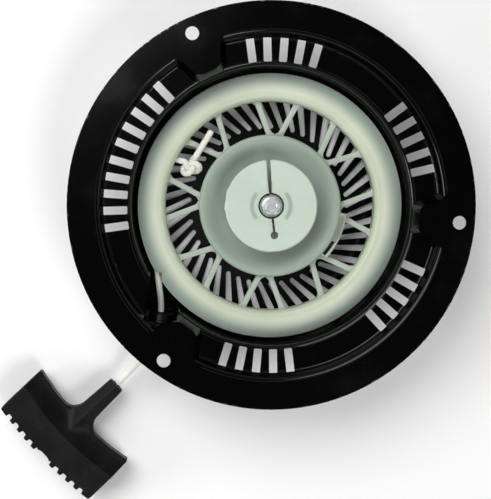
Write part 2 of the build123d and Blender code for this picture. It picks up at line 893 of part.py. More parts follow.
with BuildPart() as handle_insert:
    with BuildSketch(Plane(origin=stem_at + stem_way * (knot_room_x + 0.02), z_dir=stem_way)):
        Circle(knot_room_r - 0.1)
        Circle(rope_r + 0.3, mode=Mode.SUBTRACT)
    extrude(amount=1.6)
finish(handle_insert, "handle_insert")

with BuildPart() as handle_knot:
    with BuildSketch(Plane(origin=stem_at + stem_way * 0.4, z_dir=stem_way)):
        Circle(rope_r)
    extrude(amount=knot_room_x + 4)
    with Locations(grip_plane.from_local_coords(Vector(knot_room_x + 6.4, 0, 0))):
        Sphere(4.7)
finish(handle_knot, "handle_knot")
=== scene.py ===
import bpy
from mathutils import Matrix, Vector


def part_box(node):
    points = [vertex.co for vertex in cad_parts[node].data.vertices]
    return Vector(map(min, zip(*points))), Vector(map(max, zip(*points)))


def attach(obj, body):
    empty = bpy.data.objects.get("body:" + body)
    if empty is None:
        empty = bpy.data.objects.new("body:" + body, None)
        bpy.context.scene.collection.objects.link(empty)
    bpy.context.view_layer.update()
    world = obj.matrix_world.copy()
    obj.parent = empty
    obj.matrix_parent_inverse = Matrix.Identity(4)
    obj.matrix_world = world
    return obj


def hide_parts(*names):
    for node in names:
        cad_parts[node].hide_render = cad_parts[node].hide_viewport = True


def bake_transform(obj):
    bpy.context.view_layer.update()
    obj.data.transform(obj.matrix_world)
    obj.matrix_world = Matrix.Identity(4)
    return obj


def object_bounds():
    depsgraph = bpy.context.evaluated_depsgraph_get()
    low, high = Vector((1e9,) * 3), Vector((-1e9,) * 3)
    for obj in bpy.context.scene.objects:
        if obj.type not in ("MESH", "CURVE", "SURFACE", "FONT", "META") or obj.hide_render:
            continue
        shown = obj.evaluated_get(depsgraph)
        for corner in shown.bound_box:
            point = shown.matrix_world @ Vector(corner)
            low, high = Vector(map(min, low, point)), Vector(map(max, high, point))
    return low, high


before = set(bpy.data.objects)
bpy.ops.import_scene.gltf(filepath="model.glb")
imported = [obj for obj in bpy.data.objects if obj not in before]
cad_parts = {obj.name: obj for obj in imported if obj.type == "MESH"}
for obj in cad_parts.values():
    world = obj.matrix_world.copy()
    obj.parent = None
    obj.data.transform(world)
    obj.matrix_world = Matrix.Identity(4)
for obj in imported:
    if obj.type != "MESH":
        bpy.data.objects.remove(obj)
cad_box = [list(corner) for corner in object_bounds()]

from math import cos, degrees, pi, radians, sin, sqrt, tan

import bpy
import numpy as np
from mathutils import Matrix, Vector

# Recoil starter, in metres, in the frame of the cover: the origin is the centre of the
# mounting holes on the flange's face, and +Z points to the engine.

mm = 0.001


def polar(r, angle, z=0.0):
    return Vector((r * cos(radians(angle)), r * sin(radians(angle)), z))


def disc_radius(node):
    low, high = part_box(node)
    return (high.x - low.x) / 2


# --- camera, floor and light --------------------------------------------------------------


camera_place = Vector((-0.0362, 0.0060, 0.7000))
camera_aim = Vector((-0.0137, -0.02225, 0.0))
camera_lens = 98.6
camera_sensor = 36.0

floor_half_width = 3.0
floor_gap = 0.0002

glow_overhead = 0.04
glow_low_down = 0.5

# name, angle about +Z and elevation, distance and size, power in watts
studio_lights = [
    ("key", 132, 55, 1.2, 1.0, 11.6),
    ("fill_right", -20, 28, 1.3, 0.9, 1.0),
    ("fill_low", 250, 30, 1.3, 0.9, 1.0),
    ("fill_high", -60, 54, 1.2, 0.5, 4.6),
    ("edge_left", 190, 16, 1.2, 0.5, 4.5),
    ("overhead", -27, 88, 0.9, 0.16, 0.05),
]


def add_camera():
    """Looks nearly straight at the engine's side of the starter, with +Y up."""
    data = bpy.data.cameras.new("camera")
    data.lens = camera_lens
    data.sensor_width = camera_sensor
    camera = bpy.data.objects.new("camera", data)
    bpy.context.collection.objects.link(camera)
    camera.location = camera_place
    ahead = (camera_aim - camera.location).normalized()
    right = ahead.cross(Vector((0, 1, 0))).normalized()
    turn = Matrix((right, right.cross(ahead), -ahead)).transposed()
    camera.rotation_mode = "QUATERNION"
    camera.rotation_quaternion = turn.to_quaternion()
    bpy.context.scene.camera = camera


def add_area_light(name, angle, elevation, distance, size, power):
    """Round lamp that shines at the origin."""
    data = bpy.data.lights.new(name, "AREA")
    data.shape = "DISK"
    data.size = size
    data.energy = power
    light = bpy.data.objects.new(name, data)
    bpy.context.collection.objects.link(light)
    out = distance * cos(radians(elevation))
    light.location = polar(out, angle, distance * sin(radians(elevation)))
    light.rotation_mode = "QUATERNION"
    light.rotation_quaternion = (-light.location).to_track_quat("-Z", "Y")


def add_stage(material):
    low = cad_box[0][2] - floor_gap
    corners = [
        (x * floor_half_width, y * floor_half_width, low)
        for x, y in ((-1, -1), (1, -1), (1, 1), (-1, 1))
    ]
    mesh = bpy.data.meshes.new("floor")
    mesh.from_pydata(corners, [], [(0, 1, 2, 3)])
    floor = bpy.data.objects.new("floor", mesh)
    bpy.context.collection.objects.link(floor)
    mesh.materials.append(material)


def add_backdrop():
    """Pale low down and dark overhead, so that gloss black stays black from above."""
    world = bpy.data.worlds.new("studio")
    world.use_nodes = True
    recipe = Recipe(world.node_tree)
    way = recipe.node("ShaderNodeTexCoord", {}, {}, out="Generated")
    height = recipe.axes(way)[2]
    glow = glow_overhead + glow_low_down * height.between(0.75, 0.25)
    background = world.node_tree.nodes["Background"]
    recipe.plug(background.inputs["Strength"], glow)
    background.inputs["Color"].default_value = (1, 1, 1, 1)
    bpy.context.scene.world = world
    bpy.context.scene.view_settings.view_transform = "Standard"


# --- shader expressions -------------------------------------------------------------------


class Wire:
    """An output of a shader's node; operators on it add Math nodes."""

    def __init__(self, shader, socket):
        self.shader = shader
        self.socket = socket

    def math(self, operation, *others):
        inputs = dict(enumerate((self, *others)))
        return self.shader.node("ShaderNodeMath", {"operation": operation}, inputs)

    def __add__(self, other):
        return self.math("ADD", other)

    def __mul__(self, other):
        return self.math("MULTIPLY", other)

    def __sub__(self, other):
        return self.math("SUBTRACT", other)

    def __truediv__(self, other):
        return self.math("DIVIDE", other)

    def __radd__(self, other):
        return self.math("ADD", other)

    def __rmul__(self, other):
        return self.math("MULTIPLY", other)

    def __rsub__(self, other):
        return self.shader.node("ShaderNodeMath", {"operation": "SUBTRACT"}, {0: other, 1: self})

    def between(self, low, high):
        """0 below low, 1 above high, smooth in between; low may be above high."""
        return self.shader.node(
            "ShaderNodeMapRange",
            {"interpolation_type": "SMOOTHSTEP"},
            {"Value": self, "From Min": low, "From Max": high},
        )


class Recipe:
    """A node tree under construction."""

    def __init__(self, tree):
        self.tree = tree

    def node(self, kind, settings, inputs, out=0):
        node = self.tree.nodes.new(kind)
        for key, value in settings.items():
            if key == "stops":
                self.set_stops(node.color_ramp, value)
            else:
                setattr(node, key, value)
        for key, value in inputs.items():
            self.plug(node.inputs[key], value)
        return Wire(self, node.outputs[out])

    def plug(self, socket, value):
        if isinstance(value, Wire):
            self.tree.links.new(value.socket, socket)
        else:
            socket.default_value = value

    @staticmethod
    def set_stops(ramp, stops):
        while len(ramp.elements) < len(stops):
            ramp.elements.new(0.5)
        for element, (place, colour) in zip(ramp.elements, stops):
            element.position = place
            element.color = (*colour, 1)

    def place(self):
        return self.node("ShaderNodeTexCoord", {}, {}, out="Object")

    def noise(self, place, scale, detail=3.0, roughness=0.5, distortion=0.0):
        inputs = {
            "Vector": place,
            "Scale": scale,
            "Detail": detail,
            "Roughness": roughness,
            "Distortion": distortion,
        }
        return self.node("ShaderNodeTexNoise", {}, inputs)

    def cells(self, place, scale):
        """Distance from the nearest of many scattered points."""
        return self.node("ShaderNodeTexVoronoi", {}, {"Vector": place, "Scale": scale})

    def stretch(self, place, factors):
        return self.node("ShaderNodeVectorMath", {"operation": "MULTIPLY"}, {0: place, 1: factors})

    def axes(self, place):
        return [
            self.node("ShaderNodeSeparateXYZ", {}, {"Vector": place}, out=axis)
            for axis in ("X", "Y", "Z")
        ]

    def radius(self, place):
        """Distance from the Z axis."""
        flat = self.stretch(place, (1, 1, 0))
        return self.node("ShaderNodeVectorMath", {"operation": "LENGTH"}, {0: flat}, out="Value")

    def ramp(self, value, stops):
        return self.node("ShaderNodeValToRGB", {"stops": stops}, {"Fac": value})

    def mix(self, share, first, second):
        """The first colour where the share is 0 and the second where it is 1."""
        first, second = [v if isinstance(v, Wire) else (*v, 1) for v in (first, second)]
        inputs = {"Factor": share, 6: first, 7: second}
        return self.node("ShaderNodeMix", {"data_type": "RGBA"}, inputs, out=2)

    def bump(self, height, distance, strength):
        inputs = {"Height": height, "Distance": distance, "Strength": strength}
        return self.node("ShaderNodeBump", {}, inputs)


class Shader(Recipe):
    """A material under construction."""

    def __init__(self, name):
        self.material = bpy.data.materials.new(name)
        self.material.use_nodes = True
        super().__init__(self.material.node_tree)
        self.surface = self.tree.nodes["Principled BSDF"]

    def finish(self, **sockets):
        for name, value in sockets.items():
            self.plug(self.surface.inputs[name.replace("_", " ")], value)
        return self.material


# --- materials ----------------------------------------------------------------------------


def floor_material():
    s = Shader("studio_floor")
    grain = s.noise(s.place(), 3.0)
    tint = s.mix(grain, (0.88, 0.88, 0.88), (0.9, 0.9, 0.9))
    return s.finish(
        Base_Color=tint,
        Roughness=0.95,
        Specular_IOR_Level=0.0,
        Emission_Color=(1, 1, 1, 1),
        Emission_Strength=0.05,
    )


flange_r = disc_radius("housing")
wax_reach = (2.2, 3.0, 2.0)
wax_scale = 0.0016


def gloss_paint():
    """Black stoved paint on pressed steel: slight orange peel, dust, rubbed edges."""
    s = Shader("cover_paint")
    place = s.place()
    peel = s.noise(place, 700, detail=1.0)
    waves = s.noise(place, 60, detail=2.0)
    dust = s.cells(place, 420).between(0.1, 0.02)
    patch = s.noise(place, 28, detail=4.0).between(0.5, 0.72)
    around = s.radius(place)
    rim = around.between(flange_r - 0.8 * mm, flange_r - 0.1 * mm)
    chips = s.noise(place, 260, detail=4.0, roughness=0.65).between(0.56, 0.64) * rim
    paint = s.mix(patch, (0.0007, 0.0007, 0.0008), (0.0013, 0.0013, 0.0014))
    dusty = s.mix(dust * patch * 0.4, paint, (0.12, 0.115, 0.11))
    colour = s.mix(chips, dusty, (0.22, 0.21, 0.2))
    rough = 0.13 + patch * 0.05 + dust * 0.3
    height = peel * 0.25 + waves * 1.0 - chips * 0.5
    return s.finish(
        Base_Color=colour,
        Roughness=rough,
        Metallic=chips * 0.8,
        Specular_IOR_Level=0.25,
        Normal=s.bump(height, 0.00006, 0.8),
    )


def nylon(name, colour_at, rough=0.36, weight=0.55):
    """Natural nylon; colour_at(shader, place) gives its body colour."""
    s = Shader(name)
    place = s.place()
    cloud = s.noise(place, 45, detail=3.0)
    grain = s.noise(place, 900, detail=2.0)
    flow = s.noise(s.stretch(place, (1, 1, 4)), 130, detail=3.0, distortion=0.6)
    speck = s.cells(place, 210).between(0.085, 0.03) * s.noise(place, 35).between(0.56, 0.7)
    body = colour_at(s, place)
    cloudy = s.mix(cloud.between(0.35, 0.7) * 0.14, body, (0.34, 0.4, 0.34))
    colour = s.mix(speck * 0.45, cloudy, (0.2, 0.19, 0.15))
    return s.finish(
        Base_Color=colour,
        Roughness=rough + flow * 0.16,
        Subsurface_Weight=weight,
        Subsurface_Radius=wax_reach,
        Subsurface_Scale=wax_scale,
        Specular_IOR_Level=0.45,
        Normal=s.bump(grain * 0.25 + flow, 0.00005, 0.6),
    )


def rim_colour(s, place):
    """Cream over the wound rope, grey-green where the flange stands clear of it; painted shade
    along the inner edge and a painted highlight line along the outer edge.
    """
    around = s.radius(place)
    share = (around - 54 * mm) / (16 * mm)
    return s.ramp(
        share,
        [
            # painted shade at the drum's inner edge
            (0.0, (0.42, 0.49, 0.38)),
            (0.16, (0.55, 0.61, 0.47)),
            (0.42, (0.68, 0.73, 0.575)),
            (0.58, (0.55, 0.61, 0.5)),
            (0.78, (0.34, 0.41, 0.36)),
            (0.94, (0.28, 0.34, 0.3)),
            # painted highlight line along the flange's outer edge
            (0.98, (0.62, 0.68, 0.6)),
        ],
    )


def hub_colour(s, place):
    """The dish is darker towards its middle: painted shade next to the guide's disc that stands
    over it, and the spring under its thin floor.
    """
    around = s.radius(place)
    share = (around - 10 * mm) / (32 * mm)
    return s.ramp(
        share,
        [
            # darker towards the middle: painted shade next to the guide's disc, and the spring
            # below
            (0.0, (0.26, 0.32, 0.27)),
            (0.5, (0.26, 0.32, 0.27)),
            (0.66, (0.29, 0.355, 0.3)),
            (0.8, (0.34, 0.41, 0.345)),
            (1.0, (0.35, 0.415, 0.35)),
        ],
    )


def spoke_colour(s, place):
    return s.mix(s.noise(place, 60), (0.42, 0.475, 0.415), (0.48, 0.54, 0.465))


def lug_colour(s, place):
    """Brown spring steel shows through the lug near its closed end."""
    x, y = s.axes(place)[:2]
    angle = y.math("ARCTAN2", x)
    steel = angle.between(radians(-32), radians(-27)) * angle.between(radians(-6), radians(-11))
    inside = s.radius(place).between(39.7 * mm, 39.0 * mm)
    return s.mix(steel * inside * 0.75, (0.38, 0.45, 0.38), (0.19, 0.185, 0.12))


def guide_colour(s, place):
    """The friction clip shows faintly as two arcs beside the bolt. Along the slit, an oil tint
    mixed with painted shade, and painted shade deep in the slit.
    """
    x, y, z = s.axes(place)
    around = s.radius(place)
    ring = around.between(8.7 * mm, 9.3 * mm) * around.between(11.4 * mm, 10.7 * mm)
    side = x.math("ABSOLUTE") / around
    arcs = ring * side.between(0.7, 0.8)
    boss = around.between(13.0 * mm, 8.0 * mm)
    slit = (x + y * 0.07).math("ABSOLUTE")
    oil_and_shade_patches = s.noise(place, 300).between(0.35, 0.6)
    # brown along the slit: an oil tint and painted shade inside it
    oil_and_shade = slit.between(2.1 * mm, 1.0 * mm) * y.math("ABSOLUTE").between(20 * mm, 9 * mm) * oil_and_shade_patches
    # painted shade deep in the slit, almost black brown
    deep = z.between(-9.15 * mm, -9.6 * mm) * slit.between(2.0 * mm, 1.6 * mm)
    plain = s.mix(boss * 0.25, (0.53, 0.62, 0.53), (0.46, 0.535, 0.45))
    clip = s.mix(arcs * 0.9, plain, (0.33, 0.38, 0.31))
    with_oil_and_shade = s.mix(oil_and_shade * 0.6, clip, (0.3, 0.27, 0.16))
    return s.mix(deep * 0.9, with_oil_and_shade, (0.12, 0.09, 0.05))


def pale_colour(s, place):
    return s.mix(s.noise(place, 90), (0.6, 0.66, 0.58), (0.66, 0.72, 0.63))


def rope_material():
    s = Shader("rope_braid")
    place = s.place()
    fibre = s.noise(s.stretch(place, (1, 1, 2)), 2600, detail=3.0)
    soil = s.noise(place, 120, detail=3.0).between(0.45, 0.75)
    colour = s.mix(soil * 0.35, (0.88, 0.88, 0.82), (0.68, 0.67, 0.58))
    shaded = s.mix(fibre.between(0.3, 0.6) * 0.25, (0.72, 0.72, 0.62), colour)
    colour = s.mix(0.6, shaded, colour)
    return s.finish(
        Base_Color=colour,
        Roughness=0.75,
        Sheen_Weight=0.25,
        Sheen_Roughness=0.4,
        Specular_IOR_Level=0.3,
        Normal=s.bump(fibre, 0.00008, 0.7),
    )


def metal(name, colour, dark, rough, marks_depth=0.8):
    """Plated or turned steel with fine lines around its axis and a few marks."""
    s = Shader(name)
    place = s.place()
    along = s.node("ShaderNodeCombineXYZ", {}, {"X": s.axes(place)[2] * 60})
    ticks = s.noise(along, 160, detail=2.0)
    marks = s.noise(place, 520, detail=4.0, distortion=0.8).between(0.55, 0.7)
    stain = s.noise(place, 150, detail=3.0).between(0.45, 0.75)
    tone = s.mix(stain * 0.6, colour, dark)
    return s.finish(
        Base_Color=s.mix(marks * 0.3, tone, dark),
        Metallic=1.0,
        Roughness=rough + marks * 0.18 + stain * 0.08,
        Normal=s.bump(ticks + marks * marks_depth, 0.00003, 0.6),
    )


def grip_plastic():
    """Black moulded plastic: fine spark-eroded grain, paler where hands rub it."""
    s = Shader("grip_plastic")
    place = s.place()
    grain = s.cells(place, 1500) + s.noise(place, 1900, detail=2.0) * 0.6
    rub = s.noise(place, 70, detail=4.0).between(0.45, 0.7)
    scratch = s.noise(s.stretch(place, (1, 9, 1)), 260, detail=3.0).between(0.64, 0.7)
    colour = s.mix(rub * 0.6, (0.0016, 0.0016, 0.0018), (0.0042, 0.0042, 0.0045))
    return s.finish(
        Base_Color=s.mix(scratch * 0.3, colour, (0.05, 0.05, 0.05)),
        Roughness=0.46 + rub * 0.1 - scratch * 0.1,
        Specular_IOR_Level=0.2,
        Normal=s.bump(grain, 0.00005, 0.5),
    )


# --- mesh helpers -------------------------------------------------------------------------


def smooth_faces(mesh):
    mesh.polygons.foreach_set("use_smooth", [True] * len(mesh.polygons))


def coat(mesh, material):
    mesh.materials.clear()
    mesh.materials.append(material)


def loose_mesh(name, points, faces):
    mesh = bpy.data.meshes.new(name)
    mesh.from_pydata([tuple(p) for p in points], [], faces)
    piece = bpy.data.objects.new(name, mesh)
    bpy.context.collection.objects.link(piece)
    return piece


def make_piece(name, points, faces, material, body, sharp=35):
    piece = loose_mesh(name, points, faces)
    mesh = piece.data
    mesh.validate()
    smooth_faces(mesh)
    mesh.set_sharp_from_angle(angle=radians(sharp))
    coat(mesh, material)
    if body:
        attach(piece, body)
    return piece


def rounded(corners, step=6):
    """Closed outline in metres from (x, y, radius) corners in millimetres."""
    points = []
    for k, (x, y, radius) in enumerate(corners):
        here = Vector((x, y))
        before = (Vector(corners[k - 1][:2]) - here).normalized()
        after = (Vector(corners[(k + 1) % len(corners)][:2]) - here).normalized()
        half = before.angle(after) / 2
        middle = here + (before + after).normalized() * (radius / sin(half))
        spoke = here + before * (radius / tan(half)) - middle
        sweep = pi - 2 * half
        if before.x * after.y - before.y * after.x > 0:
            sweep = -sweep
        count = max(2, round(degrees(abs(sweep)) / step))
        for i in range(count + 1):
            a = sweep * i / count
            turned = Vector((
                spoke.x * cos(a) - spoke.y * sin(a),
                spoke.x * sin(a) + spoke.y * cos(a),
            ))
            points.append((middle + turned) * mm)
    return points


def turned_ring(outline, steps):
    """Closed (r, z) outline turned about the Z axis."""
    count = len(outline)
    points = [
        Vector((p.x * cos(2 * pi * k / steps), p.x * sin(2 * pi * k / steps), p.y))
        for k in range(steps)
        for p in outline
    ]
    faces = [
        (k * count + i, ((k + 1) % steps) * count + i,
         ((k + 1) % steps) * count + (i + 1) % count, k * count + (i + 1) % count)
        for k in range(steps)
        for i in range(count)
    ]
    return points, faces


def merge(shells):
    """One set of points and faces from several closed shells."""
    points, faces = [], []
    for shell_points, shell_faces in shells:
        shift = len(points)
        points += list(shell_points)
        faces += [tuple(i + shift for i in face) for face in shell_faces]
    return points, faces


def loft(sections):
    """Closed shell through equal rings of points, capped at both ends."""
    count = len(sections[0])
    points = [p for section in sections for p in section]
    faces = [
        (k * count + i, k * count + (i + 1) % count,
         (k + 1) * count + (i + 1) % count, (k + 1) * count + i)
        for k in range(len(sections) - 1)
        for i in range(count)
    ]
    faces.append(tuple(reversed(range(count))))
    faces.append(tuple(range((len(sections) - 1) * count, len(sections) * count)))
    return points, faces


def sector(r_in, r_out, start, end, low, high, edge=0.35):
    """Curved block between two radii, angles and heights, with rounded long edges."""
    corners = [(r_in, low, edge), (r_out, low, edge), (r_out, high, edge), (r_in, high, edge)]
    outline = rounded(corners, step=30)
    steps = max(2, round(abs(end - start) / 1.5))
    return loft([
        [polar(p.x, start + (end - start) * k / steps, p.y) for p in outline]
        for k in range(steps + 1)
    ])


def route_line(points):
    """Centreline of a rope through given control points."""
    data = bpy.data.curves.new("route", "CURVE")
    data.dimensions = "3D"
    data.resolution_u = 24
    spline = data.splines.new("NURBS")
    spline.points.add(len(points) - 1)
    for spot, point in zip(spline.points, points):
        spot.co = (*point, 1)
    spline.order_u = 3
    spline.use_endpoint_u = True
    carrier = bpy.data.objects.new("route", data)
    mesh = bpy.data.meshes.new_from_object(carrier)
    line = [v.co.copy() for v in mesh.vertices]
    bpy.data.objects.remove(carrier)
    bpy.data.meshes.remove(mesh)
    bpy.data.curves.remove(data)
    return line


def spaced(line, step):
    """The same line with points at even distances, and its length."""
    line = np.array([tuple(p) for p in line])
    lengths = np.concatenate(([0.0], np.cumsum(np.linalg.norm(np.diff(line, axis=0), axis=1))))
    count = max(2, int(round(lengths[-1] / step)))
    places = np.linspace(0, lengths[-1], count + 1)
    points = [Vector([np.interp(t, lengths, line[:, axis]) for axis in range(3)]) for t in places]
    return points, lengths[-1]


def braided(line, radius, sides=28, step=0.36 * mm):
    """Braided rope along a line: two sets of strands that cross, as relief on a tube."""
    points, length = spaced(line, step)
    rings = []
    across = (points[1] - points[0]).orthogonal().normalized()
    for k, point in enumerate(points):
        ahead = points[min(k + 1, len(points) - 1)] - points[max(k - 1, 0)]
        ahead.normalize()
        across = (across - ahead * across.dot(ahead)).normalized()
        other = ahead.cross(across)
        run = length * k / (len(points) - 1)
        wave = 2 * pi * strands * run / braid_pitch
        end = min(1.0, min(run, length - run) / (0.6 * radius))
        round_end = 0.3 + 0.7 * sqrt(1 - (1 - end) ** 2)
        ring = []
        for i in range(sides):
            a = 2 * pi * i / sides
            strand = max(cos(strands * a + wave), cos(strands * a - wave))
            size = radius * (1 - braid_relief + braid_relief * strand) * round_end
            ring.append(point + (across * cos(a) + other * sin(a)) * size)
        rings.append(ring)
    return loft(rings)


# --- ropes --------------------------------------------------------------------------------

# Metres and degrees, as the rope lies at rest.
rope_r = 1.7 * mm
strands = 4
braid_pitch = 7.0 * mm
braid_relief = 0.12
rope_z = -26.0 * mm
inner_turn_r = 59.2 * mm
outer_turn_r = 62.2 * mm
rope_leave_angle = 184.4
knot_angle = 153.6
stem_bore_length = 40 * mm
eye_at = Vector((-57.9, -60.5, -26.5)) * mm
eye_way = polar(1, 262.0)
stem_top = Vector((-82.1, -96.6, -37.0)) * mm
stem_turn = 223.3
stem_way = polar(1, stem_turn)


def free_rope(material):
    """From the eyelet to the grip: short, and pulled nearly straight by the grip's weight."""
    route = [
        Vector((-58.9, -66.4, -26.8)) * mm,
        Vector((-63.2, -76.2, -29.6)) * mm,
        Vector((-72.6, -86.8, -34.3)) * mm,
        stem_top + Vector((0.2, 0.2, 0)) * mm,
    ]
    line = route_line(route)
    points, faces = braided(line, rope_r)
    piece = make_piece("free_rope", points, faces, material, None, sharp=60)
    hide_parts("rope_free")
    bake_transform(piece)


def lead_rope(material):
    """From the drum to the eyelet, tight against its flared mouth."""
    leave_way = polar(1, rope_leave_angle + 90)
    leave_at = polar(outer_turn_r, rope_leave_angle, rope_z)
    route = [
        leave_at + leave_way * 9 * mm,
        leave_at + leave_way * 34 * mm,
        eye_at - eye_way * 6 * mm,
        eye_at + eye_way * 6.2 * mm,
    ]
    points, faces = braided(route_line(route), rope_r)
    piece = make_piece("lead_rope", points, faces, material, "cover", sharp=60)
    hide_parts("rope_lead")


def wound_rope(material):
    """Two turns against the drum and the outer turn that the rope leaves from."""
    shells = []
    turns = ((inner_turn_r, -24.0 * mm), (inner_turn_r, -27.9 * mm), (outer_turn_r, rope_z))
    for radius, height in turns:
        ring = [polar(radius, a, height) for a in np.arange(0, 361, 3)]
        shells.append(braided(ring, rope_r, sides=24, step=0.5 * mm))
    points, faces = merge(shells)
    piece = make_piece("wound_rope", points, faces, material, "reel", sharp=60)
    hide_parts("rope_on_reel")


def overhand(middle, mouth, size, lift, gap=0.5):
    """Points of an overhand knot in the plane of +X and +Y whose two ends leave at the mouth."""
    up = polar(1, mouth + 180)
    right = Vector((up.y, -up.x, 0))
    line = []
    for t in np.linspace(pi + gap, 3 * pi - gap, 60):
        x, y, z = sin(t) + 2 * sin(2 * t), cos(t) - 2 * cos(2 * t), -sin(3 * t)
        line.append(middle + (right * x + up * y) * size + Vector((0, 0, z * lift)))
    return line


def reel_knot(material):
    """Stopper knot inside the drum with its straight tail."""
    middle = polar(46.9 * mm, knot_angle, -25.4 * mm)
    tail_end = Vector((-30.8, 39.6, -22.2)) * mm
    tail_start = middle + Vector((2.4, 4.4, 3.2)) * mm
    knot = overhand(middle, 105.9, 1.6 * mm, 1.8 * mm)
    line = [polar(57.3 * mm, knot_angle, rope_z), polar(54.0 * mm, knot_angle, rope_z)]
    line += knot
    line += [tail_start.lerp(tail_end, share) for share in (0, 0.3, 0.65, 1)]
    points, faces = braided(route_line(line), rope_r * 0.97, sides=32, step=0.3 * mm)
    piece = make_piece("reel_knot_rope", points, faces, material, "reel", sharp=60)
    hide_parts("reel_knot")


def grip_knot(material):
    """The rope through the stem and the knot that holds the grip."""
    middle = stem_top + stem_way * (stem_bore_length + 6.0 * mm)
    line = [
        stem_top + stem_way * 0.4 * mm,
        stem_top + stem_way * stem_bore_length * 0.5,
        stem_top + stem_way * stem_bore_length,
    ]
    knot = overhand(middle, stem_turn + 180, 1.35 * mm, 1.4 * mm, gap=0.75)
    line += knot
    line += [
        middle + stem_way * 1.0 * mm + Vector((0, 0, 3.0)) * mm,
        middle + stem_way * 5.5 * mm + Vector((0, 0, 2.2)) * mm,
    ]
    points, faces = braided(route_line(line), rope_r * 0.9, sides=24)
    piece = make_piece("grip_knot_rope", points, faces, material, "grip", sharp=60)
    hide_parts("handle_knot")


# --- reel ---------------------------------------------------------------------------------

# Millimetres and degrees; near is the side towards the engine.
reel_r = disc_radius("reel") / mm
reel_near_z = -20.0
reel_far_z = -31.8
drum_in_r = 55.3
drum_out_r = 57.4
hub_r = 37.5
hub_wall = 2.2
hub_far_z = -41.0
dish_z = -23.0
dish_back_z = -25.4
boss_r = 11.2
bore_r = 7.06
notch_angle = 212.0
notch_r = 2.4
notch_depth = 1.9
spoke_pairs = 8
spoke_first_angle = -4.0
spoke_half_width = 1.45
spoke_half_depth = 3.25
spoke_flare = 1.2
spoke_z = -27.75
lug_start = -43.5
lug_end = -6
lug_far_z = -38.0
lug_near_z = -20.6


def reel_rim(material):
    """Drum with its two flanges; the near one has a broad crowned edge."""
    outline = rounded([
        (drum_in_r, reel_far_z, 0.7),
        (reel_r, reel_far_z, 0.35),
        (reel_r, reel_far_z + 0.7, 0.25),
        (drum_out_r, reel_far_z + 1.9, 0.6),
        (drum_out_r, reel_near_z - 2.3, 0.6),
        (reel_r - 0.8, reel_near_z - 2.8, 0.2),
        (reel_r, reel_near_z - 2.5, 0.3),
        (reel_r - 0.5, reel_near_z - 1.55, 0.5),
        (reel_r - 7.4, reel_near_z - 0.05, 9.0),
        (drum_in_r + 2.0, reel_near_z, 2.4),
        (drum_in_r, reel_near_z - 2.2, 1.8),
    ])
    points, faces = turned_ring(outline, 288)
    # notch in the near flange where the rope is led in
    notch = polar(reel_r * mm, notch_angle)
    for p in points:
        way = Vector((p.x, p.y, 0))
        depth = notch_r * mm - (way - notch).length
        if depth > 0 and p.z > (reel_near_z - 3.5) * mm:
            p -= way.normalized() * min(depth * 1.4, notch_depth * mm)
    piece = make_piece("reel_rim", points, faces, material, "reel")
    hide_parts("reel")


def reel_hub(material):
    """Cup over the mainspring, with a dished near face and a bearing boss."""
    outline = rounded([
        (bore_r, dish_back_z - 2.3, 0.3),
        (boss_r, dish_back_z - 2.3, 0.4),
        (boss_r, dish_back_z, 1.0),
        (hub_r - hub_wall, dish_back_z, 0.8),
        (hub_r - hub_wall, hub_far_z, 0.4),
        (hub_r, hub_far_z, 0.5),
        (hub_r, reel_near_z, 1.5),
        (hub_r - 3.1, reel_near_z, 7.0),
        (hub_r - 10.1, dish_z, 9.0),
        (boss_r, dish_z, 0.8),
        (boss_r, reel_near_z + 1.6, 0.5),
        (bore_r, reel_near_z + 1.6, 0.3),
    ])
    points, faces = turned_ring(outline, 240)
    piece = make_piece("reel_hub", points, faces, material, "reel")
    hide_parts("reel")


def spoke(near, far):
    """Rectangular bar with rounded edges that flares where it joins hub and drum."""
    way = far - near
    length = way.length
    way.normalize()
    side = Vector((-way.y, way.x, 0))
    edge = 0.5
    sections = []
    for share in (0, 0.02, 0.045, 0.08, 0.13, 0.2, 0.5, 0.82, 0.89, 0.94, 0.975, 1):
        reach = min(share, 1 - share) * length
        flare = min(spoke_flare, spoke_flare * max(0.0, 1 - (reach - 1.0) / 2.0) ** 2)
        half = spoke_half_width + flare
        deep = spoke_half_depth + flare * 0.35
        corners = [
            (x * half, y * deep, edge)
            for x, y in ((-1, -1), (1, -1), (1, 1), (-1, 1))
        ]
        foot = (near + way * share * length) * mm
        sections.append([
            foot + side * p.x + Vector((0, 0, p.y + spoke_z * mm))
            for p in rounded(corners, step=22)
        ])
    return loft(sections)


def reel_spokes(material):
    shells = []
    for pair in range(spoke_pairs):
        middle = spoke_first_angle + pair * 360 / spoke_pairs
        for side in (-1, 1):
            near = polar(hub_r - 1.2, middle + side * 3.6)
            far = polar(drum_in_r + 1.2, middle + side * 11.25)
            shells.append(spoke(near, far))
    points, faces = merge(shells)
    piece = make_piece("reel_spokes", points, faces, material, "reel")
    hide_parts("reel")


def reel_lug(material):
    """Anchor of the mainspring on the hub's side, open along a narrow slot."""
    r_in, r_out = hub_r - 0.9, hub_r + 2.5
    slot_start, slot_end = lug_start + 1.1, -29.5
    low, high = lug_far_z, lug_near_z
    shells = [
        sector(r_out - 0.6, r_out + 0.7, lug_start, lug_end, low, high, 0.3),
        sector(r_in - 0.2, r_in + 0.3, lug_start, lug_end, low, high, 0.15),
        sector(r_in, r_out, lug_start, slot_start, low, high),
        sector(r_in, r_out, slot_end, lug_end, low, high),
        sector(r_in, r_out, lug_start + 0.5, slot_end + 0.5, low, -29.0),
    ]
    points, faces = merge(shells)
    piece = make_piece("spring_lug", points, faces, material, "reel")
    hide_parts("reel")


# --- grip ---------------------------------------------------------------------------------

